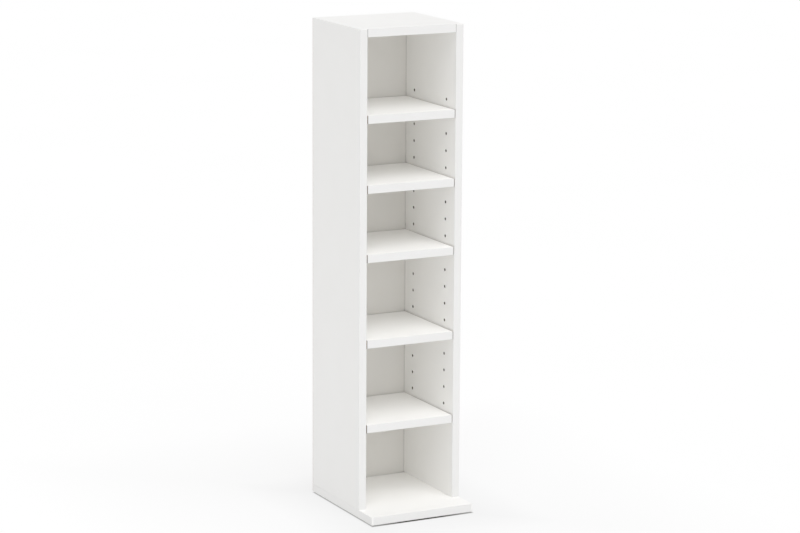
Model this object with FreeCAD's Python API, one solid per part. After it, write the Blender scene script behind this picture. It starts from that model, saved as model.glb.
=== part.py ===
"""Slim flat-pack bookcase: two drilled sides on a projecting base, a top held by cam fittings,
five loose shelves on plug-in pins and a nailed hardboard back.

Millimetres. +Z is up and +Y points to the back. The origin is at the middle of the footprint, on the floor.
"""
import FreeCAD
import Part

import math
import os

from FreeCAD import Vector

# Case and boards
CASE_WIDTH = 210.0
CASE_HEIGHT = 910.0
CASE_DEPTH = 200.0  # sides and top, with the back panel
BASE_DEPTH = 255.0  # base plate, with the back panel
BOARD = 15.0
BACK_THICKNESS = 3.0
BACK_MARGIN = 1.0  # the back panel is cut this much short of the case on every side
EDGE_BAND = 0.8
EDGE_RADIUS = 0.6
BASE_CORNER = 2.0

# Shelves and the drilled rows that their pins plug into; holes are counted from the lowest
HOLE_COUNT = 20
HOLE_PITCH = 32.0
HOLE_RADIUS = 2.5
HOLE_DEPTH = 10.0
COLUMN_INSET = 36.0  # front column, from the front edge of the side
COLUMN_SPACING = 128.0
SHELF_HOLES = {"shelf_1": 18, "shelf_2": 14, "shelf_3": 10, "shelf_4": 5, "shelf_5": 0}
SHELF_SIDE_GAP = 1.0
SHELF_REAR_GAP = 1.0

# Shelf pins: a shank in the hole, a thin collar against the side and a stud with a flat on top
PIN_SHANK = 9.0
PIN_COLLAR = 0.7
PIN_STUD = 8.0
PIN_STUD_RADIUS = 3.5
PIN_SEAT = 2.5  # flat of the stud above the hole's axis
PIN_CHAMFER = 0.6

# Cam fittings between top and sides
CAM_DISTANCE = 24.0  # cam axis from the end of the top
CAM_RADIUS = 7.3
CAM_CLEARANCE = 0.2
CAM_HEIGHT = 12.0
CAM_TURN = 180.0  # degrees from locked to the entry window
CAM_POST = 1.5
CAM_WALL_RADIUS = 6.2
CAM_DRAW = 0.15  # how far the inside wall is off centre, which draws the bolt in
CAM_SLOT_GAP = 0.25
DRIVE_LENGTH = 9.0
DRIVE_WIDTH = 1.4
DRIVE_DEPTH = 2.0
BOLT_THREAD_RADIUS = 3.0
BOLT_THREAD_LENGTH = 10.5
BOLT_TIP = 1.0  # chamfer at the end of the thread
BOLT_COLLAR_RADIUS = 3.8
BOLT_COLLAR = 1.5
BOLT_SHAFT_RADIUS = 3.0
BOLT_NECK_RADIUS = 2.0
BOLT_HEAD_RADIUS = 3.2
BOLT_HEAD_NEAR = 5.0  # back of the bolt's head, from the cam axis
BOLT_HEAD = 3.0
BOLT_HEAD_BEVEL = 0.5
BOLT_HOLE_RADIUS = 4.0

# Wooden dowels
DOWEL_RADIUS = 4.0
DOWEL_LONG_END = 20.0
DOWEL_SHORT_END = 10.0
DOWEL_CHAMFER = 1.0
DOWEL_OFFSET = 32.0  # from the nearest column of holes, towards the middle

# Screws through the base into the sides
SCREW_LENGTH = 48.0
SCREW_RADIUS = 2.5
SCREW_NECK_RADIUS = 3.0
SCREW_CLEARANCE = 0.2
SCREW_HEAD_RADIUS = 5.0
SCREW_HEAD = 3.0
SCREW_SINK = 0.3  # head below the underside of the base
SCREW_SOCKET = 4.0  # across the flats
SCREW_SOCKET_DEPTH = 2.0

# Back panel nails
NAIL_RADIUS = 0.7
NAIL_LENGTH = 20.0
NAIL_HEAD_RADIUS = 1.6
NAIL_HEAD = 0.8
NAIL_POINT = 1.5
NAILS_PER_SIDE = 6
NAIL_END = 60.0  # outer nails, from the ends of the side
CROSS_NAIL_SHARE = 0.5  # nails in top and base, as a share of the inside half width

# Nail-on glides
GLIDE_HEIGHT = 2.0
GLIDE_RADIUS = 9.0
GLIDE_EDGE = 0.6
GLIDE_INSET = 22.0
GLIDE_PIN_RADIUS = 0.9
GLIDE_PIN_LENGTH = 11.0
GLIDE_PIN_SEAT = 1.2  # how deep the nail sits in the plastic

FIT = 0.05  # radial clearance of a driven or plugged piece in its hole
HOLE_SPARE = 1.0  # a blind hole is this much deeper than what sits in it
CUT_SPARE = 1.0  # a cut reaches this far past the face that it opens

# Planes and lines that the pieces share
REAR = BASE_DEPTH / 2
BASE_FRONT = REAR - BASE_DEPTH
CASE_FRONT = REAR - CASE_DEPTH
BOARD_REAR = REAR - BACK_THICKNESS
OUTSIDE = CASE_WIDTH / 2
INSIDE = OUTSIDE - BOARD
SIDE_MIDDLE = OUTSIDE - BOARD / 2
BASE_BOTTOM = GLIDE_HEIGHT
BASE_TOP = BASE_BOTTOM + BOARD
TOP_BOTTOM = CASE_HEIGHT - BOARD
TOP_MIDDLE = CASE_HEIGHT - BOARD / 2
FRONT_COLUMN = CASE_FRONT + COLUMN_INSET
REAR_COLUMN = FRONT_COLUMN + COLUMN_SPACING
COLUMNS = (FRONT_COLUMN, REAR_COLUMN)
DOWEL_ROWS = (FRONT_COLUMN + DOWEL_OFFSET, REAR_COLUMN - DOWEL_OFFSET)
LOWEST_HOLE = (BASE_TOP + CASE_HEIGHT - (HOLE_COUNT - 1) * HOLE_PITCH) / 2
CAM_AXIS = INSIDE - CAM_DISTANCE
BOLT_HEIGHT = BOARD / 2  # bolt axis above the underside of the top
HANDS = {"left": -1, "right": 1}
UP = Vector(0, 0, 1)
FULL_TURN = 360.0
HALF_TURN = FULL_TURN / 2
HEXAGON = 6


def hole_height(index):
    """Height of a hole in the drilled rows, counted from the lowest."""
    return LOWEST_HOLE + index * HOLE_PITCH


def block(x0, x1, y0, y1, z0, z1):
    """A plain board between two corners."""
    return Part.makeBox(x1 - x0, y1 - y0, z1 - z0, Vector(x0, y0, z0))


def turned(outline, start, direction):
    """A turned piece: outline is (distance along the axis, radius) points, closed along the axis."""
    first, last = outline[0][0], outline[-1][0]
    points = [Vector(first, 0, 0)] + [Vector(s, r, 0) for s, r in outline] + [Vector(last, 0, 0)]
    face = Part.Face(Part.makePolygon(points + points[:1]))
    solid = face.revolve(Vector(0, 0, 0), Vector(1, 0, 0), FULL_TURN)
    solid.Placement = FreeCAD.Placement(start, FreeCAD.Rotation(Vector(1, 0, 0), direction))
    return solid


def rounded(solid, radius, wanted):
    """Rounds the edges whose middle point the test accepts."""
    edges = [edge for edge in solid.Edges if wanted(edge.CenterOfMass)]
    return solid.makeFillet(radius, edges)


def near(a, b):
    """True for two coordinates in the same plane."""
    return abs(a - b) < 1e-6


def write(name, *solids):
    """Writes one node as a STEP file."""
    shape = solids[0] if len(solids) == 1 else Part.makeCompound(list(solids))
    shape.exportStep(os.path.join("parts", name + ".step"))


def side_bores(hand):
    """Everything that is drilled into one side panel."""
    face = hand * INSIDE
    outwards = Vector(hand, 0, 0)
    bores = []
    for y in COLUMNS:
        for index in range(HOLE_COUNT):
            start = Vector(face, y, hole_height(index))
            bores.append(Part.makeCylinder(HOLE_RADIUS, HOLE_DEPTH, start, outwards))
        bores.append(Part.makeCylinder(
            BOLT_THREAD_RADIUS, BOLT_THREAD_LENGTH + HOLE_SPARE, Vector(face, y, TOP_MIDDLE), outwards))
        pilot = SCREW_LENGTH - BOARD + HOLE_SPARE
        bores.append(Part.makeCylinder(SCREW_RADIUS, pilot, Vector(hand * SIDE_MIDDLE, y, BASE_TOP), UP))
    for y in DOWEL_ROWS:
        bores.append(Part.makeCylinder(
            DOWEL_RADIUS, DOWEL_SHORT_END + HOLE_SPARE, Vector(face, y, TOP_MIDDLE), outwards))
        bores.append(Part.makeCylinder(
            DOWEL_RADIUS, DOWEL_LONG_END + HOLE_SPARE, Vector(hand * SIDE_MIDDLE, y, BASE_TOP), UP))
    return bores


def nail_places():
    """Where the back panel is nailed to the boards, as (x, z)."""
    first, last = BASE_TOP + NAIL_END, CASE_HEIGHT - NAIL_END
    step = (last - first) / (NAILS_PER_SIDE - 1)
    heights = [first + step * i for i in range(NAILS_PER_SIDE)]
    places = [(hand * SIDE_MIDDLE, z) for hand in HANDS.values() for z in heights]
    for hand in HANDS.values():
        for z in (BASE_BOTTOM + BOARD / 2, TOP_MIDDLE):
            places.append((hand * INSIDE * CROSS_NAIL_SHARE, z))
    return places


def nail(x, z, clearance=0.0):
    """One nail, its head flush with the back panel, or the hole that it leaves."""
    shank, head = NAIL_RADIUS + clearance, NAIL_HEAD_RADIUS + clearance
    outline = [(0, head), (NAIL_HEAD, head), (NAIL_HEAD, shank)]
    outline += [(NAIL_LENGTH - NAIL_POINT, shank), (NAIL_LENGTH + clearance, 0)]
    return turned(outline, Vector(x, REAR, z), Vector(0, -1, 0))


def nail_holes():
    return [nail(x, z, FIT) for x, z in nail_places()]


def side_panel(hand):
    """One side, without its edge bands."""
    inner, outer = sorted((hand * INSIDE, hand * OUTSIDE))
    core = block(inner, outer, CASE_FRONT + EDGE_BAND, BOARD_REAR, BASE_TOP, CASE_HEIGHT - EDGE_BAND)
    return core.cut(side_bores(hand) + nail_holes())


def side_edge_bands(hand):
    """The strips on the front and top edges of one side."""
    inner, outer = sorted((hand * INSIDE, hand * OUTSIDE))
    front = block(inner, outer, CASE_FRONT, CASE_FRONT + EDGE_BAND, BASE_TOP, CASE_HEIGHT)
    front = rounded(front, EDGE_RADIUS, lambda p: near(p.y, CASE_FRONT) and not near(p.z, BASE_TOP))
    top = block(inner, outer, CASE_FRONT + EDGE_BAND, BOARD_REAR, CASE_HEIGHT - EDGE_BAND, CASE_HEIGHT)
    top = rounded(top, EDGE_RADIUS, lambda p: near(p.z, CASE_HEIGHT) and near(abs(p.x), OUTSIDE))
    return front, top


def front_band(half_width, front, bottom):
    """The strip on the front edge of the top or of a shelf."""
    strip = block(-half_width, half_width, front, front + EDGE_BAND, bottom, bottom + BOARD)
    return rounded(strip, EDGE_RADIUS, lambda p: near(p.y, front) and not near(abs(p.x), half_width))


def top_panel():
    """The top, bored from below for the cams and from its ends for bolts and dowels."""
    board = block(-INSIDE, INSIDE, CASE_FRONT + EDGE_BAND, BOARD_REAR, TOP_BOTTOM, CASE_HEIGHT)
    cam_depth = CAM_HEIGHT + HOLE_SPARE / 2
    bores = []
    for hand in HANDS.values():
        inwards = Vector(-hand, 0, 0)
        end = hand * INSIDE
        for y in COLUMNS:
            bores.append(Part.makeCylinder(
                CAM_RADIUS + CAM_CLEARANCE, cam_depth, Vector(hand * CAM_AXIS, y, TOP_BOTTOM), UP))
            bores.append(Part.makeCylinder(
                BOLT_HOLE_RADIUS, CAM_DISTANCE, Vector(end, y, TOP_MIDDLE), inwards))
        for y in DOWEL_ROWS:
            bores.append(Part.makeCylinder(
                DOWEL_RADIUS, DOWEL_LONG_END + HOLE_SPARE, Vector(end, y, TOP_MIDDLE), inwards))
    return board.cut(bores + nail_holes())


def base_plan(inset):
    """Outline of the base seen from above, with rounded front corners, taken in by the inset."""
    side, front, radius = OUTSIDE - inset, BASE_FRONT + inset, BASE_CORNER - inset
    if radius <= 0:
        corners = [Vector(-side, BOARD_REAR, 0), Vector(-side, front, 0), Vector(side, front, 0),
                   Vector(side, BOARD_REAR, 0)]
        return Part.Face(Part.makePolygon(corners + corners[:1]))
    middle = radius * math.sqrt(0.5)

    def corner(hand):
        centre = Vector(hand * (side - radius), front + radius, 0)
        beside = centre + Vector(hand * radius, 0, 0)
        ahead = centre + Vector(0, -radius, 0)
        return beside, centre + Vector(hand * middle, -middle, 0), ahead

    left, left_middle, left_ahead = corner(-1)
    right, right_middle, right_ahead = corner(1)
    rear_left, rear_right = Vector(-side, BOARD_REAR, 0), Vector(side, BOARD_REAR, 0)
    edges = [
        Part.LineSegment(rear_left, left),
        Part.Arc(left, left_middle, left_ahead),
        Part.LineSegment(left_ahead, right_ahead),
        Part.Arc(right_ahead, right_middle, right),
        Part.LineSegment(right, rear_right),
        Part.LineSegment(rear_right, rear_left),
    ]
    return Part.Face(Part.Wire([edge.toShape() for edge in edges]))


def base_slab(inset):
    """The base, or the core of it inside the edge band."""
    return base_plan(inset).extrude(Vector(0, 0, BOARD)).translated(Vector(0, 0, BASE_BOTTOM))


def screw_outline(clearance):
    """Outline of a base screw from its head up, or of the hole bored for it."""
    head, neck = SCREW_HEAD_RADIUS + clearance, SCREW_NECK_RADIUS + clearance
    start = 0.0 if clearance else SCREW_SINK
    return [(start, head), (SCREW_SINK, head), (SCREW_SINK + SCREW_HEAD, neck), (BOARD, neck)]


def base_plate():
    """The base, bored for the screws, dowels and glide nails."""
    bores = []
    for hand in HANDS.values():
        x = hand * SIDE_MIDDLE
        for y in COLUMNS:
            bores.append(turned(screw_outline(SCREW_CLEARANCE), Vector(x, y, BASE_BOTTOM), UP))
        for y in DOWEL_ROWS:
            depth = DOWEL_SHORT_END + HOLE_SPARE
            bores.append(Part.makeCylinder(DOWEL_RADIUS, depth, Vector(x, y, BASE_TOP - depth), UP))
    for x, y in glide_places():
        depth = GLIDE_PIN_LENGTH - GLIDE_PIN_SEAT + HOLE_SPARE
        bores.append(Part.makeCylinder(GLIDE_PIN_RADIUS + FIT, depth, Vector(x, y, BASE_BOTTOM), UP))
    return base_slab(EDGE_BAND).cut(bores + nail_holes())


def base_edge_band():
    """One strip round the left, front and right edges of the base."""
    outside = rounded(base_slab(0.0), EDGE_RADIUS, lambda p: (
        (near(p.z, BASE_BOTTOM) or near(p.z, BASE_TOP)) and not near(p.y, BOARD_REAR)))
    return outside.cut(base_slab(EDGE_BAND))


def shelf_bottom(name):
    """A shelf lies on the flats of its pins."""
    return hole_height(SHELF_HOLES[name]) + PIN_SEAT


def shelf_board(name):
    half, bottom = INSIDE - SHELF_SIDE_GAP, shelf_bottom(name)
    return block(-half, half, CASE_FRONT + EDGE_BAND, BOARD_REAR - SHELF_REAR_GAP, bottom, bottom + BOARD)


def shelf_edge_band(name):
    return front_band(INSIDE - SHELF_SIDE_GAP, CASE_FRONT, shelf_bottom(name))


def shelf_pin(hand, y, z):
    """One plug-in pin, its collar on the inside of a side and its flat turned up."""
    shank = HOLE_RADIUS - FIT
    outline = [(-PIN_SHANK, shank - PIN_CHAMFER), (PIN_CHAMFER - PIN_SHANK, shank), (0, shank)]
    outline += [(0, PIN_STUD_RADIUS), (PIN_STUD - PIN_CHAMFER, PIN_STUD_RADIUS)]
    outline += [(PIN_STUD, PIN_STUD_RADIUS - PIN_CHAMFER)]
    seat = Vector(hand * INSIDE, y, z)
    body = turned(outline, seat, Vector(-hand, 0, 0))
    first, last = sorted((hand * (INSIDE - PIN_COLLAR), hand * (INSIDE - PIN_STUD)))
    above = block(first, last, y - PIN_STUD_RADIUS, y + PIN_STUD_RADIUS, z + PIN_SEAT, z + PIN_STUD_RADIUS)
    return body.cut(above)


def shelf_pins(name):
    z = hole_height(SHELF_HOLES[name])
    return [shelf_pin(hand, y, z) for hand in HANDS.values() for y in COLUMNS]


def back_panel():
    half = OUTSIDE - BACK_MARGIN
    sheet = block(-half, half, BOARD_REAR, REAR, BASE_BOTTOM + BACK_MARGIN, CASE_HEIGHT - BACK_MARGIN)
    return sheet.cut(nail_holes())


def sector(radius, z0, z1, start, sweep):
    """A wedge of a cylinder about the cam's axis."""
    wedge = Part.makeCylinder(radius, z1 - z0, Vector(0, 0, z0), UP, sweep)
    wedge.rotate(Vector(0, 0, 0), UP, start)
    return wedge


def cam():
    """One cam in its own frame, locked on a bolt that comes from -X; its drive faces down.

    The head lies in a chamber round a middle post. Turning the cam carries the wall behind the head, whose
    neck runs in the slot, until the entry window comes round to it.
    """
    chamber_half = BOLT_HEAD_RADIUS + CAM_SLOT_GAP
    slot_half = BOLT_NECK_RADIUS + CAM_SLOT_GAP
    low, high = BOLT_HEIGHT - chamber_half, BOLT_HEIGHT + chamber_half
    body = Part.makeCylinder(CAM_RADIUS, CAM_HEIGHT)
    chamber = Part.makeCylinder(CAM_WALL_RADIUS, high - low, Vector(CAM_DRAW, 0, low))
    chamber = chamber.cut(Part.makeCylinder(CAM_POST, high - low, Vector(0, 0, low)))
    spread = math.degrees(math.asin(slot_half / (CAM_WALL_RADIUS - CAM_DRAW)))
    neck_slot = sector(CAM_RADIUS + CUT_SPARE, BOLT_HEIGHT - slot_half, BOLT_HEIGHT + slot_half,
                       HALF_TURN - spread, CAM_TURN + spread)
    neck_slot = neck_slot.cut(Part.makeCylinder(BOLT_HEAD_NEAR, CAM_HEIGHT))
    window = block(CAM_POST, CAM_RADIUS + CUT_SPARE, -chamber_half, chamber_half, low, high)
    window.rotate(Vector(0, 0, 0), UP, HALF_TURN + CAM_TURN)
    half, width = DRIVE_LENGTH / 2, DRIVE_WIDTH / 2
    drive = block(-half, half, -width, width, 0, DRIVE_DEPTH).fuse(
        block(-width, width, -half, half, 0, DRIVE_DEPTH))
    return body.cut([chamber, neck_slot, window, drive])


def placed_cam(hand, y):
    piece = cam()
    piece.rotate(Vector(0, 0, 0), UP, HALF_TURN if hand > 0 else 0.0)
    return piece.translated(Vector(hand * CAM_AXIS, y, TOP_BOTTOM))


def cam_bolt(hand, y):
    """A bolt screwed into the side, reaching through the end of the top into its cam."""
    thread = BOLT_THREAD_RADIUS - FIT
    head_end = CAM_DISTANCE - BOLT_HEAD_NEAR + BOLT_HEAD
    neck_start = CAM_DISTANCE - CAM_RADIUS - CAM_SLOT_GAP
    head_start = CAM_DISTANCE - BOLT_HEAD_NEAR
    outline = [(-BOLT_THREAD_LENGTH, thread - BOLT_TIP), (BOLT_TIP - BOLT_THREAD_LENGTH, thread)]
    outline += [(0, thread), (0, BOLT_COLLAR_RADIUS), (BOLT_COLLAR, BOLT_COLLAR_RADIUS)]
    outline += [(BOLT_COLLAR, BOLT_SHAFT_RADIUS), (neck_start, BOLT_SHAFT_RADIUS)]
    outline += [(neck_start, BOLT_NECK_RADIUS), (head_start, BOLT_NECK_RADIUS)]
    rim = BOLT_HEAD_RADIUS - BOLT_HEAD_BEVEL
    outline += [(head_start, rim), (head_start + BOLT_HEAD_BEVEL, BOLT_HEAD_RADIUS)]
    outline += [(head_end - BOLT_HEAD_BEVEL, BOLT_HEAD_RADIUS), (head_end, rim)]
    return turned(outline, Vector(hand * INSIDE, y, TOP_MIDDLE), Vector(-hand, 0, 0))


def dowel(middle, towards_long_end):
    """A dowel whose two ends meet at the joint between the boards."""
    radius = DOWEL_RADIUS - FIT
    small = radius - DOWEL_CHAMFER
    outline = [(-DOWEL_SHORT_END, small), (DOWEL_CHAMFER - DOWEL_SHORT_END, radius)]
    outline += [(DOWEL_LONG_END - DOWEL_CHAMFER, radius), (DOWEL_LONG_END, small)]
    return turned(outline, middle, towards_long_end)


def top_dowels():
    return [dowel(Vector(hand * INSIDE, y, TOP_MIDDLE), Vector(-hand, 0, 0))
            for hand in HANDS.values() for y in DOWEL_ROWS]


def base_dowels():
    return [dowel(Vector(hand * SIDE_MIDDLE, y, BASE_TOP), UP) for hand in HANDS.values() for y in DOWEL_ROWS]


def base_screw(hand, y):
    """A countersunk screw from under the base, with a hexagon socket."""
    thread = SCREW_RADIUS - FIT
    outline = screw_outline(0.0)[1:] + [(BOARD, thread), (SCREW_LENGTH - thread, thread), (SCREW_LENGTH, 0)]
    start = Vector(hand * SIDE_MIDDLE, y, BASE_BOTTOM)
    corner = SCREW_SOCKET / math.sqrt(3)
    turns = [math.radians(FULL_TURN / HEXAGON * i) for i in range(HEXAGON)]
    points = [Vector(corner * math.cos(turn), corner * math.sin(turn), SCREW_SINK) for turn in turns]
    socket = Part.Face(Part.makePolygon(points + points[:1])).extrude(Vector(0, 0, SCREW_SOCKET_DEPTH))
    return turned(outline, start, UP).cut(socket.translated(start))


def glide_places():
    """Centres of the glides, as (x, y)."""
    return [(hand * (OUTSIDE - GLIDE_INSET), y) for hand in HANDS.values()
            for y in (BASE_FRONT + GLIDE_INSET, BOARD_REAR - GLIDE_INSET)]


def glide(x, y):
    """A round plastic glide with a softened rim."""
    outline = [(0, GLIDE_RADIUS - GLIDE_EDGE), (GLIDE_EDGE, GLIDE_RADIUS), (GLIDE_HEIGHT, GLIDE_RADIUS)]
    start = Vector(x, y, GLIDE_HEIGHT - GLIDE_PIN_SEAT)
    seat = Part.makeCylinder(GLIDE_PIN_RADIUS + FIT, GLIDE_PIN_SEAT, start, UP)
    return turned(outline, Vector(x, y, 0), UP).cut(seat)


def glide_nail(x, y):
    """The nail that holds a glide to the base."""
    point = 2 * GLIDE_PIN_RADIUS
    outline = [(0, GLIDE_PIN_RADIUS), (GLIDE_PIN_LENGTH - point, GLIDE_PIN_RADIUS), (GLIDE_PIN_LENGTH, 0)]
    return turned(outline, Vector(x, y, GLIDE_HEIGHT - GLIDE_PIN_SEAT), UP)


def main():
    os.makedirs("parts", exist_ok=True)
    for side, hand in HANDS.items():
        write(side + "_side_panel", side_panel(hand))
        write(side + "_side_edge_bands", *side_edge_bands(hand))
        for row, y in zip(("front", "rear"), COLUMNS):
            write(row + "_" + side + "_cam", placed_cam(hand, y))
    write("top_panel", top_panel())
    write("top_edge_band", front_band(INSIDE, CASE_FRONT, TOP_BOTTOM))
    write("base_plate", base_plate())
    write("base_edge_band", base_edge_band())
    write("back_panel", back_panel())
    for name in SHELF_HOLES:
        write(name, shelf_board(name))
        write(name + "_edge_band", shelf_edge_band(name))
        write(name + "_pins", *shelf_pins(name))
    write("cam_bolts", *[cam_bolt(hand, y) for hand in HANDS.values() for y in COLUMNS])
    write("top_dowels", *top_dowels())
    write("base_dowels", *base_dowels())
    write("base_screws", *[base_screw(hand, y) for hand in HANDS.values() for y in COLUMNS])
    write("back_panel_nails", *[nail(x, z) for x, z in nail_places()])
    write("glides", *[glide(x, y) for x, y in glide_places()])
    write("glide_nails", *[glide_nail(x, y) for x, y in glide_places()])


main()
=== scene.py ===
# %% [markdown]
# # A slim bookcase with loose shelves
# The case is white melamine-faced chipboard. Its boards, bands, pins and fittings come from the packed
# model, where every size is fixed already. This lesson gives each of them its finish, models the threads,
# flutes and heads of the small hardware, and lights the whole as a bright studio picture.

# %% Load the frame
import bmesh
import bpy
import math
from mathutils import Matrix, Vector


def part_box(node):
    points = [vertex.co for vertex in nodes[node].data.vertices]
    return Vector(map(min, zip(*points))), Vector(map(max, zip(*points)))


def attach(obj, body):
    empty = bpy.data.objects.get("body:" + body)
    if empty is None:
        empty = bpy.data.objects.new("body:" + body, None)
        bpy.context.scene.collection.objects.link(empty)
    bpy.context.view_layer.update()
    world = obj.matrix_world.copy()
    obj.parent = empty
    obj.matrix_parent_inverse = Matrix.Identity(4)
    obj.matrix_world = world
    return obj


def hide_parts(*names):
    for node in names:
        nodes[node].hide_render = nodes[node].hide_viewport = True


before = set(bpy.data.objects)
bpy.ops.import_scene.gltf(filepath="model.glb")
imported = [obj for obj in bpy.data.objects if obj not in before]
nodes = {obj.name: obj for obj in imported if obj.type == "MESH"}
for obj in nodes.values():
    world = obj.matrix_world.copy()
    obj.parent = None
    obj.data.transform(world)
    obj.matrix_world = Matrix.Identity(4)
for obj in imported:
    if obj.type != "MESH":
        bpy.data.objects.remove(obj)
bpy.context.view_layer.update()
MM = 0.001

# %% [markdown]
# ## The camera
# The picture was taken from the front left and a little above, from far away, so the upright edges hardly
# lean. A long lens at the same distance gives the same flat perspective. The angles were found by
# matching the edges of the case and the rows of holes; a small roll levels them with the picture.

# %% Camera
PICTURE_WIDTH = 800
SENSOR = 36.0
FOCAL_PIXELS = 2904.9
AZIMUTH, ELEVATION, ROLL = -27.12, 11.768, 0.342
DISTANCE = 5.4
AIM = Vector((0.0149, 0.0, 0.4532))


def towards(azimuth, elevation):
    """The direction so many degrees round and up; azimuth 0 is in front and 90 on the right."""
    turn, tilt = math.radians(azimuth), math.radians(elevation)
    return Vector((math.sin(turn) * math.cos(tilt), -math.cos(turn) * math.cos(tilt), math.sin(tilt)))


back = towards(AZIMUTH, ELEVATION)
camera = bpy.data.objects.new("camera", bpy.data.cameras.new("camera"))
bpy.context.scene.collection.objects.link(camera)
camera.data.sensor_width = SENSOR
camera.data.lens = SENSOR * FOCAL_PIXELS / PICTURE_WIDTH
facing = back.to_track_quat("Z", "Y").to_matrix().to_4x4() @ Matrix.Rotation(math.radians(ROLL), 4, "Z")
camera.matrix_world = Matrix.Translation(AIM + back * DISTANCE) @ facing
bpy.context.scene.camera = camera
print("lens: %.1f mm" % camera.data.lens)

# %% [markdown]
# ## Helpers for materials
# A finish is a small network of nodes. Short helpers keep the networks readable. Some add a node for a
# pattern, a mix or a step of arithmetic and return its output. Others make a node group with named
# sockets, so that an effect is built once and used in many finishes.

# %% Nodes and arithmetic
def add(tree, kind, values=None, **settings):
    """Adds a node; values are socket defaults by name or number."""
    made = tree.nodes.new(kind)
    for key, value in settings.items():
        setattr(made, key, value)
    for key, value in (values or {}).items():
        made.inputs[key].default_value = value
    return made


def join(tree, *pairs):
    """Links outputs to inputs."""
    for source, target in pairs:
        tree.links.new(source, target)


def feed(tree, *pairs):
    """Gives inputs their values; each value is an output or plain."""
    for value, socket in pairs:
        if isinstance(value, bpy.types.NodeSocket):
            join(tree, (value, socket))
        else:
            socket.default_value = value


def calc(tree, operation, first, second=0.0):
    """One step of arithmetic."""
    made = add(tree, "ShaderNodeMath", operation=operation)
    feed(tree, (first, made.inputs[0]), (second, made.inputs[1]))
    return made.outputs[0]


def times(tree, first, second):
    """The product of two numbers."""
    return calc(tree, "MULTIPLY", first, second)


def minus(tree, first, second):
    """The first number less the second."""
    return calc(tree, "SUBTRACT", first, second)


def apart(tree, first, second):
    """The distance between two numbers."""
    return calc(tree, "ABSOLUTE", minus(tree, first, second))


def axes(tree, place):
    """The X, Y and Z of a place, by name or in this order."""
    split = add(tree, "ShaderNodeSeparateXYZ")
    join(tree, (place, split.inputs[0]))
    return split.outputs


print("arithmetic ready")

# %% Patterns and mixes
def stretched(tree, place, scale):
    """Coordinates that pull a pattern out along an axis whose scale is below 1."""
    made = add(tree, "ShaderNodeMapping", {"Scale": scale})
    join(tree, (place, made.inputs["Vector"]))
    return made.outputs[0]


def noise(tree, place, scale, detail, roughness=0.5, distortion=0.0):
    """Noise at so many features per metre; returns its value output."""
    values = {"Scale": scale, "Detail": detail, "Roughness": roughness, "Distortion": distortion}
    made = add(tree, "ShaderNodeTexNoise", values)
    join(tree, (place, made.inputs["Vector"]))
    return made.outputs[0]


def spread(tree, value, low, high, start=0.3, end=0.7):
    """Maps start and end to low and high; most noise lies between 0.3 and 0.7."""
    made = add(tree, "ShaderNodeMapRange")
    feed(tree, *zip((value, start, end, low, high), made.inputs))
    return made.outputs[0]


def mix_colour(tree, share, first, second):
    """Mixes two colours."""
    made = add(tree, "ShaderNodeMix", data_type="RGBA")
    feed(tree, (share, made.inputs[0]), (first, made.inputs[6]), (second, made.inputs[7]))
    return made.outputs[2]


def mix_value(tree, share, first, second):
    """Mixes two numbers."""
    made = add(tree, "ShaderNodeMix", data_type="FLOAT")
    feed(tree, (share, made.inputs[0]), (first, made.inputs[2]), (second, made.inputs[3]))
    return made.outputs[0]


print("patterns ready")

# %% Groups and finishes
def new_group(name, inputs, outputs):
    """A node group with named sockets; returns the tree, its input node and its output node."""
    tree = bpy.data.node_groups.new(name, "ShaderNodeTree")
    for label, kind, default in inputs:
        socket = tree.interface.new_socket(label, in_out="INPUT", socket_type=kind)
        if default is not None:
            socket.default_value = default
    for label, kind in outputs:
        tree.interface.new_socket(label, in_out="OUTPUT", socket_type=kind)
    return tree, tree.nodes.new("NodeGroupInput"), tree.nodes.new("NodeGroupOutput")


def use(tree, group, place, **values):
    """Places a node group in a finish and gives it the coordinates and its other values."""
    made = add(tree, "ShaderNodeGroup", values, node_tree=group)
    join(tree, (place, made.inputs["Place"]))
    return made


def new_finish(name, **values):
    """A material with one Principled shader; returns it, its tree, the shader and the coordinates."""
    made = bpy.data.materials.new(name)
    made.use_nodes = True
    tree = made.node_tree
    shader = tree.nodes["Principled BSDF"]
    for key, value in values.items():
        shader.inputs[key.replace("_", " ")].default_value = value
    place = add(tree, "ShaderNodeTexCoord").outputs["Object"]
    return made, tree, shader, place


def surface(tree, shader, colour, roughness, height, depth, strength=0.5):
    """Feeds colour, roughness and relief into the shader; depth is that of the relief, in metres."""
    bump = add(tree, "ShaderNodeBump", {"Strength": strength, "Distance": depth})
    join(tree, (colour, shader.inputs["Base Color"]), (roughness, shader.inputs["Roughness"]),
         (height, bump.inputs["Height"]), (bump.outputs[0], shader.inputs["Normal"]))


def dress(material, *names):
    """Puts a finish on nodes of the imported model."""
    for name in names:
        mesh = nodes[name].data
        mesh.materials.clear()
        mesh.materials.append(material)


print("finishes ready")

# %% [markdown]
# ## Melamine boards
# Melamine is printed paper, soaked in resin and pressed on chipboard with a textured plate. It is white
# with a hint of warmth, satin, and has a fine pearl grain that breaks up reflections. Where a board is
# cut or drilled, the chipboard shows under the thin paper. One material can show both: it compares each
# point's distance from the board's middle plane with half the board's thickness, and switches from paper
# to chips below the paper. From here on, the numbers of a noise pattern are its features per metre, its
# detail and, where need be, its roughness and distortion.

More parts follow.
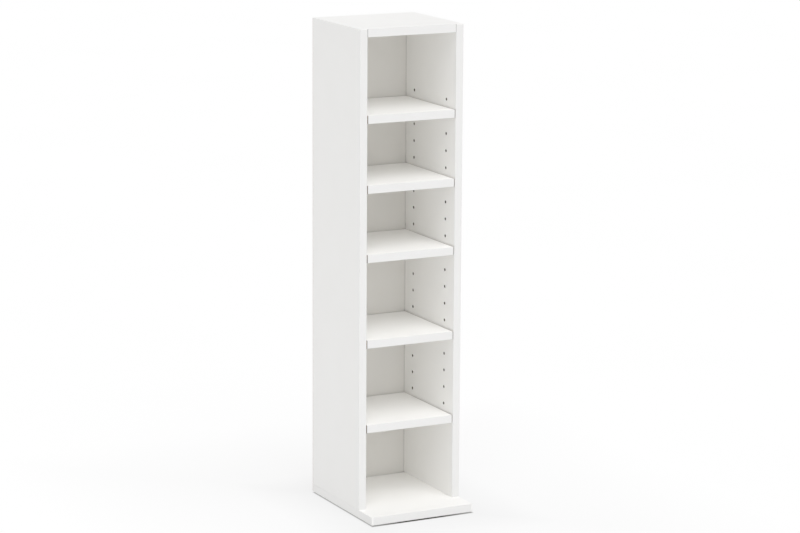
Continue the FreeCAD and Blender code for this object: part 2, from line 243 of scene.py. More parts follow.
# %% Paper and chips
PLACE = ("Place", "NodeSocketVector", None)
COLOUR, ROUGHNESS = ("Color", "NodeSocketColor"), ("Roughness", "NodeSocketFloat")
HEIGHT = ("Height", "NodeSocketFloat")
WHITE, WHITE_CLOUD = (0.905, 0.9, 0.884, 1.0), (0.895, 0.889, 0.872, 1.0)
PAPER_CLOUDS, PAPER_GRAIN, PAPER_WEAR = (16.0, 3.0), (850.0, 1.0), (45.0, 4.0, 0.6)
PAPER_ROUGH = (0.36, 0.47)
CHIPS_PER_METRE, CHIP_SHAPE = 420.0, (1.0, 0.7, 1.6)
CHIP_FINE, CHIP_ROUGH = (2600.0, 2.0), (0.75, 0.95)
CHIP_DARK, CHIP_PALE = (0.33, 0.2, 0.1, 1.0), (0.68, 0.5, 0.31, 1.0)
CHIP_GAP, GAP_SHARE, GAP_START, GAP_END = (0.16, 0.1, 0.055, 1.0), 0.6, 0.45, 0.8


def pearl_group():
    """White paper with a pearl grain and faint clouds."""
    inputs = [PLACE, ("White", "NodeSocketColor", WHITE), ("Cloud", "NodeSocketColor", WHITE_CLOUD)]
    tree, given, made = new_group("pearl_paper", inputs, [COLOUR, ROUGHNESS, HEIGHT])
    place = given.outputs["Place"]
    cloud = spread(tree, noise(tree, place, *PAPER_CLOUDS), 0.0, 1.0)
    grain = noise(tree, place, *PAPER_GRAIN)
    handled = spread(tree, noise(tree, place, *PAPER_WEAR), *PAPER_ROUGH)
    white = mix_colour(tree, cloud, given.outputs["White"], given.outputs["Cloud"])
    join(tree, (white, made.inputs["Color"]), (handled, made.inputs["Roughness"]),
         (grain, made.inputs["Height"]))
    return tree


def chip_group():
    """Chipboard as it shows on a sawn or drilled edge."""
    tree, given, made = new_group("chipboard", [PLACE], [COLOUR, ROUGHNESS, HEIGHT])
    place = given.outputs["Place"]
    cells = add(tree, "ShaderNodeTexVoronoi", {"Scale": CHIPS_PER_METRE, "Randomness": 1.0})
    tint = add(tree, "ShaderNodeSeparateColor")
    join(tree, (stretched(tree, place, CHIP_SHAPE), cells.inputs["Vector"]),
         (cells.outputs["Color"], tint.inputs[0]))
    wood = mix_colour(tree, tint.outputs[0], CHIP_DARK, CHIP_PALE)
    gaps = spread(tree, cells.outputs["Distance"], 0.0, GAP_SHARE, GAP_START, GAP_END)
    fine = noise(tree, place, *CHIP_FINE)
    join(tree, (mix_colour(tree, gaps, wood, CHIP_GAP), made.inputs["Color"]),
         (spread(tree, fine, *CHIP_ROUGH), made.inputs["Roughness"]),
         (minus(tree, fine, gaps), made.inputs["Height"]))
    return tree


pearl, chips = pearl_group(), chip_group()
print("groups:", pearl.name, chips.name)

# %% [markdown]
# ## Edges, holes and joints
# The walls of a hole and the paper at its rim are darkened with painted shade, on top of the dark of the
# bare chipboard in the hole. Painted shade also fills the narrow gaps at the ends of the shelves and along
# the back panel, as dark lines that fade out. Each is a mask that is worked out from the place of a point
# on its board, so it moves with the board and looks the same from every side.

# %% Masks of the boards
MASK = ("Mask", "NodeSocketFloat")


def numbers(*labels):
    """Inputs of a group that are plain numbers."""
    return [(label, "NodeSocketFloat", 0.0) for label in labels]


def front_group():
    """1 in front of a plane across the depth and 0 behind it; holes lie in front of a rear edge."""
    tree, given, made = new_group("in_front", [PLACE] + numbers("Plane"), [MASK])
    depth = axes(tree, given.outputs["Place"])["Y"]
    join(tree, (calc(tree, "LESS_THAN", depth, given.outputs["Plane"]), made.inputs["Mask"]))
    return tree


def paper_group():
    """1 on the paper of a board and 0 on its core, from the distance to the board's middle plane."""
    inputs = [PLACE, ("Axis", "NodeSocketVector", None)] + numbers("Middle", "Core")
    tree, given, made = new_group("paper_mask", inputs, [MASK])
    along = add(tree, "ShaderNodeVectorMath", operation="DOT_PRODUCT")
    join(tree, (given.outputs["Place"], along.inputs[0]), (given.outputs["Axis"], along.inputs[1]))
    away = apart(tree, along.outputs["Value"], given.outputs["Middle"])
    join(tree, (calc(tree, "GREATER_THAN", away, given.outputs["Core"]), made.inputs["Mask"]))
    return tree


def end_group():
    """1 where a piece reaches furthest from the middle plane of the case, fading to 0 over a width."""
    tree, given, made = new_group("joint_line", [PLACE] + numbers("Reach", "Width"), [MASK])
    aside = calc(tree, "ABSOLUTE", axes(tree, given.outputs["Place"])["X"])
    away = minus(tree, given.outputs["Reach"], aside)
    join(tree, (spread(tree, away, 1.0, 0.0, 0.0, given.outputs["Width"]), made.inputs["Mask"]))
    return tree


def rear_group():
    """1 at the rear edge of a board, fading to 0 over a width in front of it."""
    tree, given, made = new_group("rear_line", [PLACE] + numbers("Rear", "Width"), [MASK])
    away = minus(tree, given.outputs["Rear"], axes(tree, given.outputs["Place"])["Y"])
    join(tree, (spread(tree, away, 1.0, 0.0, 0.0, given.outputs["Width"]), made.inputs["Mask"]))
    return tree


in_front, paper, end_line, rear_line = front_group(), paper_group(), end_group(), rear_group()
print("masks:", [group.name for group in (in_front, paper, end_line, rear_line)])

# %% Mask of the hole rims
def rim_group():
    """1 at the rims of two columns of holes, fading to 0 where the painted shade round them ends."""
    labels = ("Lowest", "Highest", "Pitch", "Front", "Rear", "Middle", "Hole", "Reach")
    tree, given, made = new_group("hole_rim", [PLACE] + numbers(*labels), [MASK])
    x, y, z = axes(tree, given.outputs["Place"])
    lowest, highest, pitch, front, rear, middle, hole, reach = (given.outputs[label] for label in labels)
    row = calc(tree, "PINGPONG", minus(tree, z, lowest), calc(tree, "DIVIDE", pitch, 2.0))
    outside = calc(tree, "MAXIMUM", minus(tree, lowest, z), minus(tree, z, highest))
    behind = minus(tree, calc(tree, "ABSOLUTE", x), middle)
    away = add(tree, "ShaderNodeCombineXYZ")
    length = add(tree, "ShaderNodeVectorMath", operation="LENGTH")
    join(tree, (calc(tree, "MAXIMUM", behind, 0.0), away.inputs["X"]),
         (calc(tree, "MINIMUM", apart(tree, y, front), apart(tree, y, rear)), away.inputs["Y"]),
         (calc(tree, "MAXIMUM", row, outside), away.inputs["Z"]), (away.outputs[0], length.inputs[0]))
    join(tree, (spread(tree, length.outputs["Value"], 1.0, 0.0, hole, reach), made.inputs["Mask"]))
    return tree


hole_rim = rim_group()
print("mask:", hole_rim.name)

# %% Shades on the boards
HOLE_SHADE_SHARE, REAR_EDGE = 0.95, 1 * MM
REAR_JOINT, REAR_JOINT_DEPTH = 9 * MM, 0.4
HOLE_PITCH, HOLE_RADIUS = 32 * MM, 2.5 * MM
RIM_WIDTH, RIM_DEPTH = 0.7 * MM, 0.8
STUD_RADIUS = 3.5 * MM
pins_low, pins_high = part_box("shelf_5_pins")
COLUMNS = (pins_low.y + STUD_RADIUS, pins_high.y - STUD_RADIUS)
LOWEST_HOLE = pins_low.z + STUD_RADIUS
HIGHEST_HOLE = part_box("shelf_1_pins")[0].z + STUD_RADIUS + HOLE_PITCH


def end_shade(tree, place, reach, width, depth):
    """A share that rises to depth where a piece reaches furthest from the middle plane."""
    made = use(tree, end_line, place, Reach=reach, Width=width)
    return times(tree, made.outputs["Mask"], depth)


def rear_shade(tree, place, rear):
    """How much painted shade darkens a board towards the back panel."""
    made = use(tree, rear_line, place, Rear=rear, Width=REAR_JOINT)
    return times(tree, made.outputs["Mask"], REAR_JOINT_DEPTH)


def bore_shade(tree, place, rear):
    """How much painted shade darkens the chips in the holes, which lie in front of a sawn rear edge."""
    made = use(tree, in_front, place, Plane=rear - REAR_EDGE)
    return times(tree, made.outputs["Mask"], HOLE_SHADE_SHARE)


def rim_shade(tree, place, middle):
    """How much painted shade at the rims of the pin holes darkens the inner face of a side; pins tell where
    they are.
    """
    made = use(tree, hole_rim, place, Lowest=LOWEST_HOLE, Highest=HIGHEST_HOLE, Pitch=HOLE_PITCH,
               Front=COLUMNS[0], Rear=COLUMNS[1], Middle=abs(middle), Hole=HOLE_RADIUS,
               Reach=HOLE_RADIUS + RIM_WIDTH)
    return times(tree, made.outputs["Mask"], RIM_DEPTH)


print("hole columns: %.1f and %.1f mm" % tuple(place / MM for place in COLUMNS))

# %% [markdown]
# ## Dressing the boards
# Every board gets a material of its own, because its middle plane and its ends are its own. The loose
# shelves and the base are painted a little whiter than the rest of the case, though their paper is the
# same: painted light. Shelves have no holes; the other boards do.

# %% Board finishes
PAPER_THICKNESS, BOARD_RELIEF = 0.1 * MM, 0.06 * MM
HOLE_SHADE_DARK, PAINTED_JOINT_SHADE = (0.03, 0.024, 0.019, 1.0), (0.03, 0.027, 0.023, 1.0)
SHELF_JOINT, SHELF_JOINT_DEPTH = 1.8 * MM, 0.8
ACROSS = {"x": Vector((1, 0, 0)), "z": Vector((0, 0, 1))}
SHELVES = ["shelf_%d" % number for number in range(1, 6)]
SIDES = ["left_side_panel", "right_side_panel"]
SHELF_WHITES = ((0.955, 0.95, 0.935, 1.0), (0.945, 0.939, 0.923, 1.0))
BASE_WHITES = ((0.937, 0.932, 0.916, 1.0), (0.927, 0.921, 0.904, 1.0))
# The boards that things stand on are painted whiter, as painted light, and painted shade darkens them
# towards the back panel.
WHITES = {"base_plate": BASE_WHITES, **{name: SHELF_WHITES for name in SHELVES}}


def board_finish(name, axis):
    """Melamine on both faces of a board, chipboard where it is cut or drilled."""
    low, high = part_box(name)
    direction = ACROSS[axis]
    half, middle = (high - low).dot(direction) / 2, (high + low).dot(direction) / 2
    material, tree, shader, place = new_finish("melamine_" + name)
    # whiter paper for the shelves and the base: painted light
    white, cloud = WHITES.get(name, (WHITE, WHITE_CLOUD))
    sheet = use(tree, pearl, place, White=white, Cloud=cloud)
    core = use(tree, chips, place)
    inner = half - PAPER_THICKNESS
    skin = use(tree, paper, place, Axis=direction, Middle=middle, Core=inner).outputs["Mask"]
    wood, face = core.outputs["Color"], sheet.outputs["Color"]
    if name in SHELVES:
        # painted shade of the gaps between the shelf ends and the sides
        gap = end_shade(tree, place, high.x, SHELF_JOINT, SHELF_JOINT_DEPTH)
        face = mix_colour(tree, gap, face, PAINTED_JOINT_SHADE)
    else:
        # painted shade in the drilled holes
        wood = mix_colour(tree, bore_shade(tree, place, high.y), wood, HOLE_SHADE_DARK)
    if name in WHITES:
        # painted shade towards the back panel
        face = mix_colour(tree, rear_shade(tree, place, high.y), face, PAINTED_JOINT_SHADE)
    if name in SIDES:
        # painted shade round the pin holes
        face = mix_colour(tree, rim_shade(tree, place, middle), face, HOLE_SHADE_DARK)
    rough, height = (mix_value(tree, skin, core.outputs[label], sheet.outputs[label])
                     for label in ("Roughness", "Height"))
    surface(tree, shader, mix_colour(tree, skin, wood, face), rough, height, BOARD_RELIEF)
    return material


boards = {name: "x" for name in SIDES}
boards.update({name: "z" for name in ["top_panel", "base_plate"] + SHELVES})
for name, axis in boards.items():
    dress(board_finish(name, axis), name)
print("boards dressed:", len(boards))

# %% [markdown]
# ## Edge bands
# The front edges carry a plastic strip, glued on hot and trimmed. It is a touch smoother than the paper
# beside it, with faint lines along its length from the trimming cutter. A fine noise that is stretched
# along each strip draws those lines. The strips are painted a shade darker than the white of the boards:
# painted shade. On the upper ends of the sides and on the ends of the base they are about as white as the
# boards that they continue. The strips of the top and the shelves end in painted shade, a dark line for
# the gaps where they meet the sides.

# %% Edge band finish
# Painted shade: the strips are darker than the white of the boards.
BAND_WHITE, BAND_SHADE = (0.752, 0.75, 0.743, 1.0), (0.742, 0.739, 0.73, 1.0)
BAND_LINES, BAND_TONES, BAND_ROUGH = (900.0, 2.0), (25.0, 2.0), (0.3, 0.4)
BAND_RELIEF, BAND_STRENGTH = 0.02 * MM, 0.4
UPRIGHT, LEVEL = (1.0, 1.0, 0.02), (0.02, 0.02, 1.0)
TOP_JOINT, SHELF_BAND_JOINT, BAND_JOINT_DEPTH = 1.0 * MM, 1.3 * MM, 0.97
STRIP_THICKNESS = 0.8 * MM
CORNER_FADE, END_WHITENESS = 5 * MM, 0.8
SHELF_BANDS = [name + "_edge_band" for name in SHELVES]


def band_finish(name, stretch, reach=None, joint=0.0, upper=None, ends=None):
    """White plastic with cutter lines along the strip, painted a shade darker than the boards. It has
    painted shade where it reaches other boards, and it is whiter above a height, or round the corners at
    its ends."""
    material, tree, shader, place = new_finish(name)
    lines = noise(tree, stretched(tree, place, stretch), *BAND_LINES)
    tone = spread(tree, noise(tree, place, *BAND_TONES), 0.0, 1.0)
    colour = mix_colour(tree, tone, BAND_WHITE, BAND_SHADE)
    if upper:
        above = calc(tree, "GREATER_THAN", axes(tree, place)["Z"], upper)
        colour = mix_colour(tree, above, colour, WHITE)
    if ends:
        corner = end_shade(tree, place, ends, CORNER_FADE, END_WHITENESS)
        colour = mix_colour(tree, corner, colour, WHITE)
    if reach:
        # painted shade of the gaps at the ends of the strip
        gap = end_shade(tree, place, reach, joint, BAND_JOINT_DEPTH)
        colour = mix_colour(tree, gap, colour, PAINTED_JOINT_SHADE)
    rough = spread(tree, lines, *BAND_ROUGH)
    surface(tree, shader, colour, rough, lines, BAND_RELIEF, BAND_STRENGTH)
    return material


side_strips = band_finish("side_band", UPRIGHT, upper=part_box("top_panel")[1].z - STRIP_THICKNESS)
dress(side_strips, "left_side_edge_bands", "right_side_edge_bands")
dress(band_finish("base_band", LEVEL, ends=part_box("base_edge_band")[1].x), "base_edge_band")
dress(band_finish("top_band", LEVEL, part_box("top_edge_band")[1].x, TOP_JOINT), "top_edge_band")
dress(band_finish("shelf_band", LEVEL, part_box(SHELF_BANDS[0])[1].x, SHELF_BAND_JOINT), *SHELF_BANDS)
print("shelf bands dressed:", len(SHELF_BANDS), "and those of sides, top and base")

# %% [markdown]
# ## Back panel
# The back is thin hardboard, lacquered white on the side that shows and bare behind, where it is brown
# and matted with short fibres. A point's depth decides between the two, as with the boards. A faint line
# shades the corners where the panel meets the sides.

# %% Back panel finish
LACQUER, LACQUER_SHADE = (0.76, 0.747, 0.717, 1.0), (0.748, 0.734, 0.702, 1.0)
LACQUER_PEEL, LACQUER_CLOUDS, LACQUER_ROUGH = (320.0, 1.0), (20.0, 3.0), (0.42, 0.5)
LACQUER_DEPTH, BACK_RELIEF = 0.1 * MM, 0.05 * MM
BACK_JOINT, BACK_JOINT_DEPTH = 2.5 * MM, 0.3
FIBRES, BLOTCHES, FIBRE_ROUGH = (700.0, 6.0, 0.75, 1.2), (30.0, 4.0, 0.6), 0.85
FIBRE_DARK, FIBRE_BROWN = (0.2, 0.105, 0.05, 1.0), (0.3, 0.175, 0.09, 1.0)
FIBRE_PALE = (0.42, 0.28, 0.16, 1.0)
PALE_SHARE, PALE_START, PALE_END = 0.6, 0.45, 0.75


def back_finish():
    """White lacquer in front, brown fibre behind and on the edges."""
    material, tree, shader, place = new_finish("lacquered_hardboard")
    lacquered = calc(tree, "LESS_THAN", axes(tree, place)["Y"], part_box("back_panel")[0].y + LACQUER_DEPTH)
    cloud = spread(tree, noise(tree, place, *LACQUER_CLOUDS), 0.0, 1.0)
    white = mix_colour(tree, cloud, LACQUER, LACQUER_SHADE)
    # painted shade in the corners where the panel meets the sides
    corner = end_shade(tree, place, -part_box("left_side_panel")[1].x, BACK_JOINT, BACK_JOINT_DEPTH)
    white = mix_colour(tree, corner, white, PAINTED_JOINT_SHADE)
    fibre = noise(tree, place, *FIBRES)
    blotch = spread(tree, noise(tree, place, *BLOTCHES), 0.0, 1.0)
    pale = spread(tree, fibre, 0.0, PALE_SHARE, PALE_START, PALE_END)
    brown = mix_colour(tree, pale, mix_colour(tree, blotch, FIBRE_DARK, FIBRE_BROWN), FIBRE_PALE)
    rough = mix_value(tree, lacquered, FIBRE_ROUGH, spread(tree, cloud, *LACQUER_ROUGH, 0.0, 1.0))
    height = mix_value(tree, lacquered, fibre, noise(tree, place, *LACQUER_PEEL))
    surface(tree, shader, mix_colour(tree, lacquered, brown, white), rough, height, BACK_RELIEF)
    return material


dress(back_finish(), "back_panel")
print("back panel dressed")

# %% [markdown]
# ## Metal fittings
# The pins are plated with nickel and have fine turning marks round their axis. The cams are die-cast
# zinc: duller, greyer and slightly grainy, with a small arrowhead pressed in beside the drive. It shows
# where the bolt can enter, so it points away from a locked bolt. Screws, bolts and nails are bright steel,
# plated with zinc, with a faint yellow and blue cast.

# %% Arrowhead of the cams
ARROW_START, ARROW_TIP, ARROW_SLOPE, ARROW_DEPTH = 4.9 * MM, 6.8 * MM, 0.75, 0.7
cam_low, cam_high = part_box("front_right_cam")
CAM_AXIS = (cam_low.x + cam_high.x) / 2


def cam_arrow(tree, place):
    """How much the arrowheads darken the cams; each lies inwards of its cam's axis and tapers."""
    spot = axes(tree, place)
    inwards = minus(tree, CAM_AXIS, calc(tree, "ABSOLUTE", spot["X"]))
    half = times(tree, minus(tree, ARROW_TIP, inwards), ARROW_SLOPE)
    aside = calc(tree, "MINIMUM", *[apart(tree, spot["Y"], column) for column in COLUMNS])
    beyond = calc(tree, "GREATER_THAN", inwards, ARROW_START)
    beside = calc(tree, "LESS_THAN", aside, half)
    return times(tree, times(tree, beyond, beside), ARROW_DEPTH)


print("cam axes: %.1f mm from the middle" % (CAM_AXIS / MM))

# %% Metal finishes
ROUND_X, EVEN = (1.0, 0.03, 0.03), (1.0, 1.0, 1.0)
METAL_STAINS, METAL_DETAIL = (180.0, 3.0), 2.0
ROUGH_MARGIN, METAL_STRENGTH = 0.05, 0.3
NICKEL, NICKEL_STAIN = (0.72, 0.69, 0.63, 1.0), (0.68, 0.65, 0.59, 1.0)
CAST, CAST_STAIN = (0.5, 0.51, 0.52, 1.0), (0.42, 0.43, 0.44, 1.0)
PLATED, PLATED_STAIN = (0.64, 0.63, 0.58, 1.0), (0.58, 0.6, 0.62, 1.0)
ARROW_SHADE = (0.09, 0.09, 0.09, 1.0)
CAMS = [row + "_" + side + "_cam" for row in ("front", "rear") for side in ("left", "right")]


def metal_finish(name, colour, stain, rough, grain, depth, stretch=EVEN, mark=None):
    """Metal with stains in colour and roughness; a stretch turns its grain into turning marks."""
    material, tree, shader, place = new_finish(name, Metallic=1.0)
    tone = spread(tree, noise(tree, place, *METAL_STAINS), 0.0, 1.0)
    marks = noise(tree, stretched(tree, place, stretch), grain, METAL_DETAIL)
    tint = mix_colour(tree, tone, colour, stain)
    if mark:
        tint = mix_colour(tree, mark(tree, place), tint, ARROW_SHADE)
    roughness = spread(tree, marks, rough - ROUGH_MARGIN, rough + ROUGH_MARGIN)
    surface(tree, shader, tint, roughness, marks, depth, METAL_STRENGTH)
    return material


nickel = metal_finish("nickel_plate", NICKEL, NICKEL_STAIN, rough=0.2, grain=1800.0, depth=0.006 * MM,
                      stretch=ROUND_X)
zinc = metal_finish("cast_zinc", CAST, CAST_STAIN, rough=0.46, grain=1600.0, depth=0.03 * MM,
                    mark=cam_arrow)
plated = metal_finish("zinc_plate", PLATED, PLATED_STAIN, rough=0.32, grain=2200.0, depth=0.008 * MM)
dress(nickel, *[name + "_pins" for name in SHELVES])
dress(zinc, *CAMS)
dress(plated, "glide_nails")
print("metal:", nickel.name, zinc.name, plated.name)

# %% [markdown]
# ## Dowels and glides
# The dowels are beech: pinkish brown with short dark flecks along the grain. The glides are moulded
# plastic, off-white and matt.

# %% Dowel and glide finishes
BEECH, BEECH_PALE = (0.6, 0.39, 0.22, 1.0), (0.73, 0.53, 0.33, 1.0)
BEECH_FLECK = (0.36, 0.2, 0.1, 1.0)
BEECH_GRAIN, BEECH_FLECKS, BEECH_ROUGH = (700.0, 4.0, 0.6), (1800.0, 1.0), (0.55, 0.7)
FLECK_SHARE, FLECK_START, FLECK_END = 0.7, 0.6, 0.75
GLIDE, GLIDE_SHADE = (0.72, 0.7, 0.65, 1.0), (0.66, 0.64, 0.585, 1.0)
GLIDE_TONES, GLIDE_GRAIN, GLIDE_ROUGH = (120.0, 3.0), (1500.0, 2.0), (0.48, 0.62)
GRAIN_ALONG_X, GRAIN_ALONG_Z = (0.1, 1.0, 1.0), (1.0, 1.0, 0.1)
SMALL_RELIEF = 0.03 * MM


def beech_finish(name, stretch):
    """Beech with its grain along the dowel."""
    material, tree, shader, place = new_finish(name)
    along = stretched(tree, place, stretch)
    grain = noise(tree, along, *BEECH_GRAIN)
    flecks = spread(tree, noise(tree, along, *BEECH_FLECKS), 0.0, FLECK_SHARE, FLECK_START, FLECK_END)
    wood = mix_colour(tree, spread(tree, grain, 0.0, 1.0), BEECH, BEECH_PALE)
    wood = mix_colour(tree, flecks, wood, BEECH_FLECK)
    surface(tree, shader, wood, spread(tree, grain, *BEECH_ROUGH), grain, SMALL_RELIEF)
    return material


def glide_finish():
    """Matt moulded plastic."""
    material, tree, shader, place = new_finish("glide_plastic")
    tone = spread(tree, noise(tree, place, *GLIDE_TONES), 0.0, 1.0)
    grain = noise(tree, place, *GLIDE_GRAIN)
    plastic = mix_colour(tree, tone, GLIDE, GLIDE_SHADE)
    surface(tree, shader, plastic, spread(tree, grain, *GLIDE_ROUGH), grain, SMALL_RELIEF)
    return material


beech_across = beech_finish("beech_across", GRAIN_ALONG_X)
beech_upright = beech_finish("beech_upright", GRAIN_ALONG_Z)
dress(glide_finish(), "glides")
print("beech:", beech_across.name, beech_upright.name)

# %% [markdown]
# ## Turned hardware
# Bolts, screws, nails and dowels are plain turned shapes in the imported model. Here they get their
# threads, grooves, sockets and flutes. Each is modelled along X as on a lathe: a ring of edges is pulled
# along the axis step by step, each time to a new radius. A radius that depends on the angle gives a
# socket its flats and a dowel its flutes. A thread is one zigzag profile, spun round the axis while it
# moves along; two plane cuts square off its ends, and the rings left by the cuts are pulled on into the
# tip and the shaft, so that a bolt is one closed mesh. Places and radii along a piece are in millimetres.

# %% Rings and outlines
FULL_TURN = math.radians(360)
QUARTER = FULL_TURN / 4


def of_kind(items, kind):
    """The vertices, edges or faces among an operator's results."""
    return [item for item in items if isinstance(item, kind)]


def first_ring(shape, along, radius, segments):
    """The closed end where a turned piece starts; returns its ring of edges."""
    place = Matrix.Translation((along * MM, 0, 0)) @ Matrix.Rotation(QUARTER, 4, "Y")
    bmesh.ops.create_circle(shape, cap_ends=True, segments=segments, radius=radius * MM, matrix=place)
    return shape.edges[:]


def pull(shape, ring, along, radius):
    """Extrudes a ring to a place along X and a radius, which may be a function of the angle."""
    made = bmesh.ops.extrude_edge_only(shape, edges=ring)["geom"]
    points = set(of_kind(made, bmesh.types.BMVert))
    for point in points:
        turn = math.atan2(point.co.z, point.co.y)
        reach = (radius(turn) if callable(radius) else radius) * MM
        point.co = (along * MM, reach * math.cos(turn), reach * math.sin(turn))
    return [edge for edge in of_kind(made, bmesh.types.BMEdge) if points.issuperset(edge.verts)]


def turn_on(shape, ring, outline):
    """Pulls a ring through (place, radius) steps and closes its end."""
    for along, radius in outline:
        ring = pull(shape, ring, along, radius)
    bmesh.ops.edgeloop_fill(shape, edges=ring)


def disc(start, thickness, radius, bevel):
    """The outline of a disc with bevelled edges."""
    end = start + thickness
    return [(start, radius - bevel), (start + bevel, radius), (end - bevel, radius), (end, radius - bevel)]


print("outlines ready")

# %% Threads, sockets and flutes
THREAD_STEPS = 24
THREAD_PROFILE = ((0.0, 0.0), (0.4, 0.0), (0.66, 1.0), (0.74, 1.0), (1.0, 0.0))
WELD = 0.001 * MM
SIXTH = FULL_TURN / 6
CROSS_SHARPNESS, FLUTE_EDGE = 6, 0.9


def thread(shape, start, end, outer, depth, pitch):
    """A helical thread along X; returns the rings at its start and its end."""
    core = outer - depth
    steps = [(start - pitch + share * pitch, core + height * depth) for share, height in THREAD_PROFILE]
    points = [shape.verts.new((along * MM, radius * MM, 0.0)) for along, radius in steps]
    profile = [shape.edges.new(pair) for pair in zip(points, points[1:])]
    turns = math.ceil((end - start) / pitch) + 2
    bmesh.ops.spin(shape, geom=points + profile, cent=(0, 0, 0), axis=(1, 0, 0), angle=turns * FULL_TURN,
                   dvec=(pitch * MM / THREAD_STEPS, 0, 0), steps=turns * THREAD_STEPS, use_merge=False)
    bmesh.ops.remove_doubles(shape, verts=shape.verts[:], dist=WELD)
    rings = []
    for place, outwards in ((start, -1), (end, 1)):
        everything = shape.verts[:] + shape.edges[:] + shape.faces[:]
        cut = bmesh.ops.bisect_plane(shape, geom=everything, dist=WELD, plane_co=(place * MM, 0, 0),
                                     plane_no=(outwards, 0, 0), clear_outer=True)
        rings.append(of_kind(cut["geom_cut"], bmesh.types.BMEdge))
    return rings


def hexagon(across):
    """Radius of a hexagon at an angle, from its width across the flats."""
    return lambda turn: across / 2 / math.cos(turn % SIXTH - SIXTH / 2)


def cross(arm, waist):
    """Radius of a cross recess at an angle: the length of its arms, and less between them."""
    def radius(turn):
        share = abs(math.cos(2 * turn)) ** CROSS_SHARPNESS if math.cos(4 * turn) > 0 else 0.0
        return waist + (arm - waist) * share

    return radius


def flutes(radius, depth, count):
    """Radius of a fluted dowel at an angle."""
    return lambda turn: radius - depth * (math.cos(count * turn) > FLUTE_EDGE)


print("threads ready")

# %% Placing turned pieces
SHARP = math.radians(35)


def lying(origin, along):
    """The place of a turned piece whose axis points along a direction."""
    side = "Y" if along.z else "Z"
    return Matrix.Translation(origin) @ along.to_track_quat("X", side).to_matrix().to_4x4()


def copy_to(shape, places):
    """Copies a finished pattern to its places and deletes the pattern."""
    pattern = shape.verts[:] + shape.edges[:] + shape.faces[:]
    for place in places:
        copy = bmesh.ops.duplicate(shape, geom=pattern)["geom"]
        bmesh.ops.transform(shape, matrix=place, verts=of_kind(copy, bmesh.types.BMVert))
    bmesh.ops.delete(shape, geom=of_kind(pattern, bmesh.types.BMVert), context="VERTS")
    bmesh.ops.recalc_face_normals(shape, faces=shape.faces[:])


def stand_in(shape, node, material, places):
    """Copies of a pattern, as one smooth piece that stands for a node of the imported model."""
    copy_to(shape, places)
    for face in shape.faces:
        face.smooth = True
    for edge in shape.edges:
        edge.smooth = edge.calc_face_angle(0.0) < SHARP
    open_edges = sum(not edge.is_manifold for edge in shape.edges)
    mesh = bpy.data.meshes.new("turned_" + node)
    shape.to_mesh(mesh)
    shape.free()
    mesh.materials.append(material)
    piece = bpy.data.objects.new("turned_" + node, mesh)
    bpy.context.scene.collection.objects.link(piece)
    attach(piece, "case")
    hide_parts(node)
    print(piece.name, "copies:", len(places), "faces:", len(mesh.polygons), "open edges:", open_edges)


print("lathe ready")

# %% [markdown]
# ## Bolts and screws
# A bolt sits in each side with a coarse thread and a collar, and its head reaches into a cam in the end
# of the top. A cross recess in the head takes the driver. The base is held by countersunk screws with a
# hexagon socket. Places along a bolt count from the inner face of the side, and along a screw from the
# underside of the base.

# %% Cam bolts
side_low, side_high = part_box("right_side_panel")
top_low, top_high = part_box("top_panel")
base_low, base_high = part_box("base_plate")
INNER_FACE, SIDE_MIDDLE = side_low.x, (side_low.x + side_high.x) / 2
TOP_MIDDLE, BASE_MIDDLE = (top_low.z + top_high.z) / 2, (base_low.z + base_high.z) / 2
HANDS = (-1, 1)
CORNERS = [(hand, y) for hand in HANDS for y in COLUMNS]
BOLT_THREAD = {"start": -9.5, "end": -1.0, "outer": 2.95, "depth": 0.6, "pitch": 1.8}
BOLT_TIP, BOLT_CORE = [(-10.5, 1.6)], [(-0.8, 2.35), (0, 2.35)]
BOLT_COLLAR, BOLT_HEAD = disc(0, 1.5, 3.8, 0.25), disc(19, 3, 3.2, 0.5)
BOLT_SHAFT = [(1.5, 3.0), (16.45, 3.0), (16.45, 2.0), (19, 2.0)]
BOLT_RECESS = [(22, cross(2.0, 0.9)), (20.4, cross(1.1, 0.6))]


def make_cam_bolts():
    """Four bolts, from the tip of the thread to the recess in the head."""
    shape = bmesh.new()
    tip, shaft = thread(shape, **BOLT_THREAD)
    turn_on(shape, tip, BOLT_TIP)
    turn_on(shape, shaft, BOLT_CORE + BOLT_COLLAR + BOLT_SHAFT + BOLT_HEAD + BOLT_RECESS)
    places = [lying((hand * INNER_FACE, y, TOP_MIDDLE), Vector((-hand, 0, 0))) for hand, y in CORNERS]
    stand_in(shape, "cam_bolts", plated, places)


make_cam_bolts()

# %% Base screws
SCREW_THREAD = {"start": 16.0, "end": 45.5, "outer": 2.45, "depth": 0.65, "pitch": 2.2}
SCREW_POINT = [(46.5, 1.4), (48, 0.15)]
SCREW_SHANK = [(15.6, 1.8), (15, 1.8), (15, 2.8), (14.8, 3.0), (3.3, 3.0), (0.5, 4.85), (0.3, 4.75)]
SCREW_SOCKET = [(0.3, hexagon(4.3)), (0.5, hexagon(4.0)), (2.3, hexagon(4.0)), (2.7, 0.3)]


def make_base_screws():
    """Four countersunk screws, from the point of the thread down to the socket in the head."""
    shape = bmesh.new()
    shank, point = thread(shape, **SCREW_THREAD)
    turn_on(shape, point, SCREW_POINT)
    turn_on(shape, shank, SCREW_SHANK + SCREW_SOCKET)
    places = [lying((hand * SIDE_MIDDLE, y, base_low.z), Vector((0, 0, 1))) for hand, y in CORNERS]
    stand_in(shape, "base_screws", plated, places)


make_base_screws()

# %% [markdown]
# ## Nails and dowels
# The back is nailed on all round. A nail has a flat round head with a soft edge and, below it, rings that
# grip the chipboard. Dowels are pressed with flutes, so that glue and air can escape, and their ends are
# chamfered.

